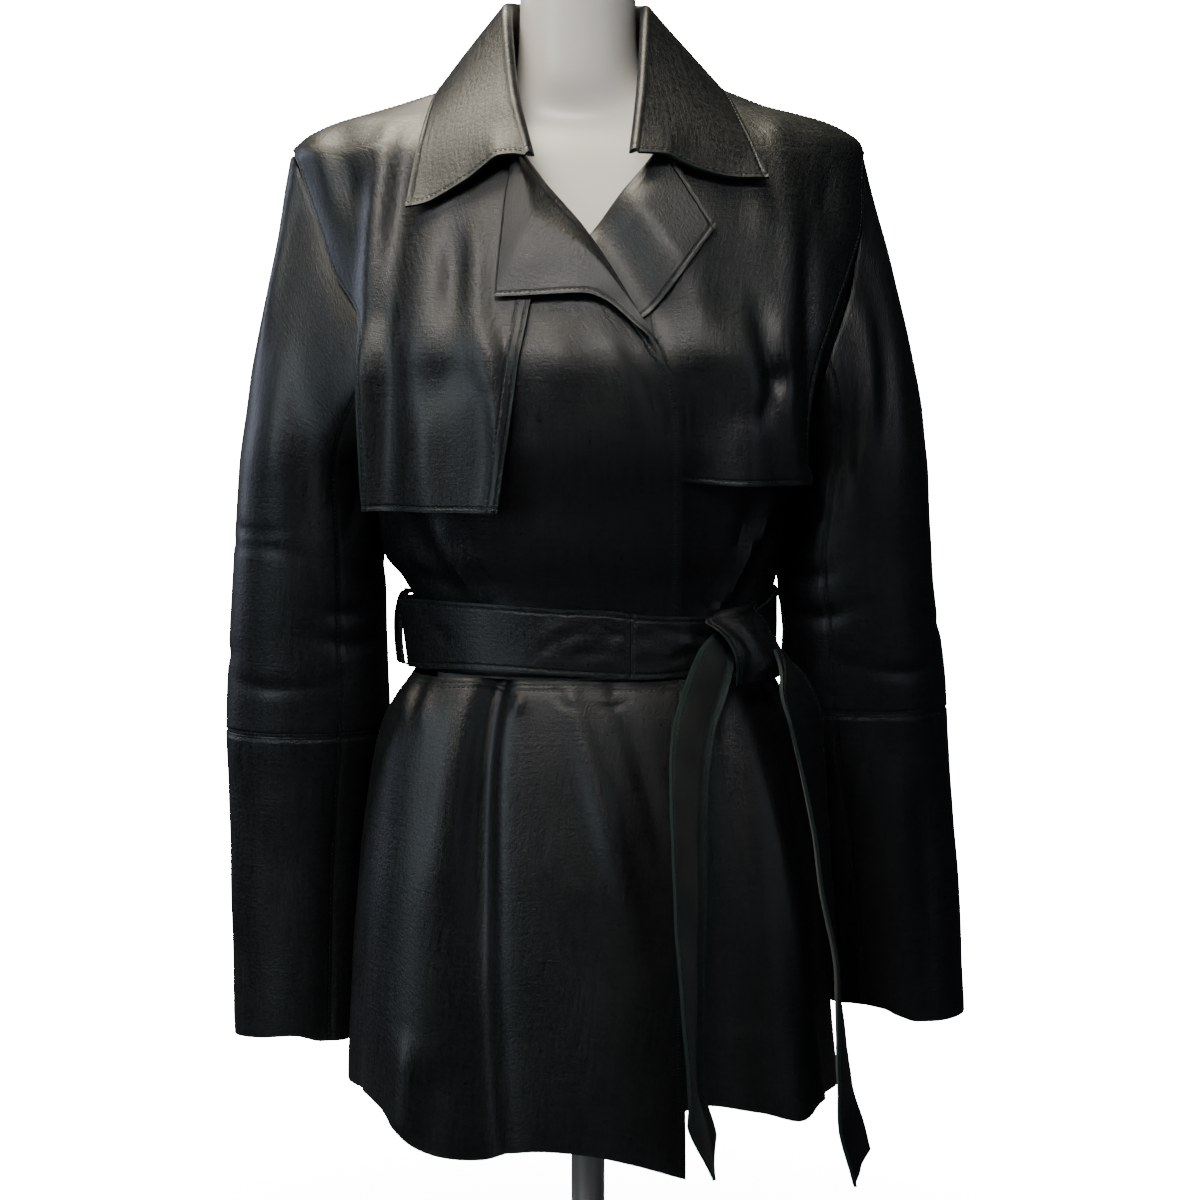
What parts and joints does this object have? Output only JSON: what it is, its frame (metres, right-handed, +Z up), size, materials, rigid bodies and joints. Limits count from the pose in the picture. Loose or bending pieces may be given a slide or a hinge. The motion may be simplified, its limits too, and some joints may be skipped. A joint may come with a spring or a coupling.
{
  "type": "leather wrap jacket on a dress form",
  "caption": "Wrap jacket of smooth leather with a notched collar, storm flaps, waist seam, flared skirt and a tied belt, worn by a limbless dress form on a round base.",
  "frame": {"origin": "centre of the underside of the stand's round base, on the floor", "axes": "+Z up, the jacket's front faces -Y, the wearer's left is +X"},
  "size_m": [0.5552, 0.3278, 1.012],
  "materials": {
    "leather": "black-green smooth leather, satin gloss",
    "form_shell": "glossy ivory-white shell",
    "stand_metal": "brushed, satin"
  },
  "bodies": {
    "root": {"back": "leather", "belt_knot": "leather", "belt_long": "leather", "belt_loop_left": "leather", "belt_loop_right": "leather", "belt_short": "leather", "belt_tail_inner": "leather", "belt_tail_outer": "leather", "collar": "leather", "front_left": "leather", "front_right": "leather", "lapel_left": "leather", "lapel_right": "leather", "skirt_back": "leather", "skirt_left": "leather", "skirt_right": "leather", "storm_flap_left": "leather", "storm_flap_right": "leather", "top_sleeve_lower_left": "leather", "top_sleeve_lower_right": "leather", "top_sleeve_upper_left": "leather", "top_sleeve_upper_right": "leather", "under_sleeve_lower_left": "leather", "under_sleeve_lower_right": "leather", "under_sleeve_upper_left": "leather", "under_sleeve_upper_right": "leather", "dress_form": "form_shell", "stand_base": "stand_metal", "stand_pole": "stand_metal", "stand_socket": "stand_metal"}
  },
  "joints": []
}
